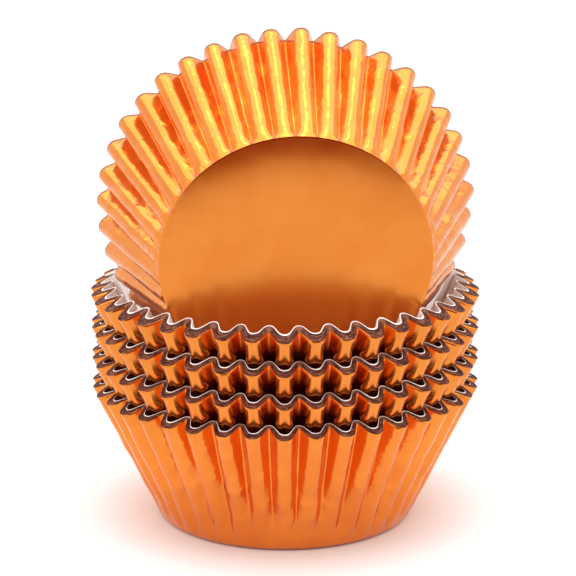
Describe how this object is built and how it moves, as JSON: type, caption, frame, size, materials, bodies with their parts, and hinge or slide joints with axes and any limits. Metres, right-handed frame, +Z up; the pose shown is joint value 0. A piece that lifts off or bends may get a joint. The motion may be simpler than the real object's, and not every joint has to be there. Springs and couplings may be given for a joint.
{
  "type": "stack of cupcake liners",
  "caption": "Stack of fluted foil baking cups in nested bundles, with a single cup lying on its side in the top.",
  "frame": {"origin": "centre of the bottom bundle's flat underside", "axes": "+Z up along the stack's axis; the leaning cup's flat base faces the front, -Y; +X to the right"},
  "size_m": [0.083, 0.083, 0.1063],
  "materials": {
    "foil_liner": "bright copper-coloured foil outside, white greaseproof paper inside"
  },
  "bodies": {
    "root": {"liner_bundle_1_bottom": "foil_liner", "liner_bundle_2": "foil_liner", "liner_bundle_3": "foil_liner", "liner_bundle_4_top": "foil_liner", "leaning_liner": "foil_liner"}
  },
  "joints": []
}
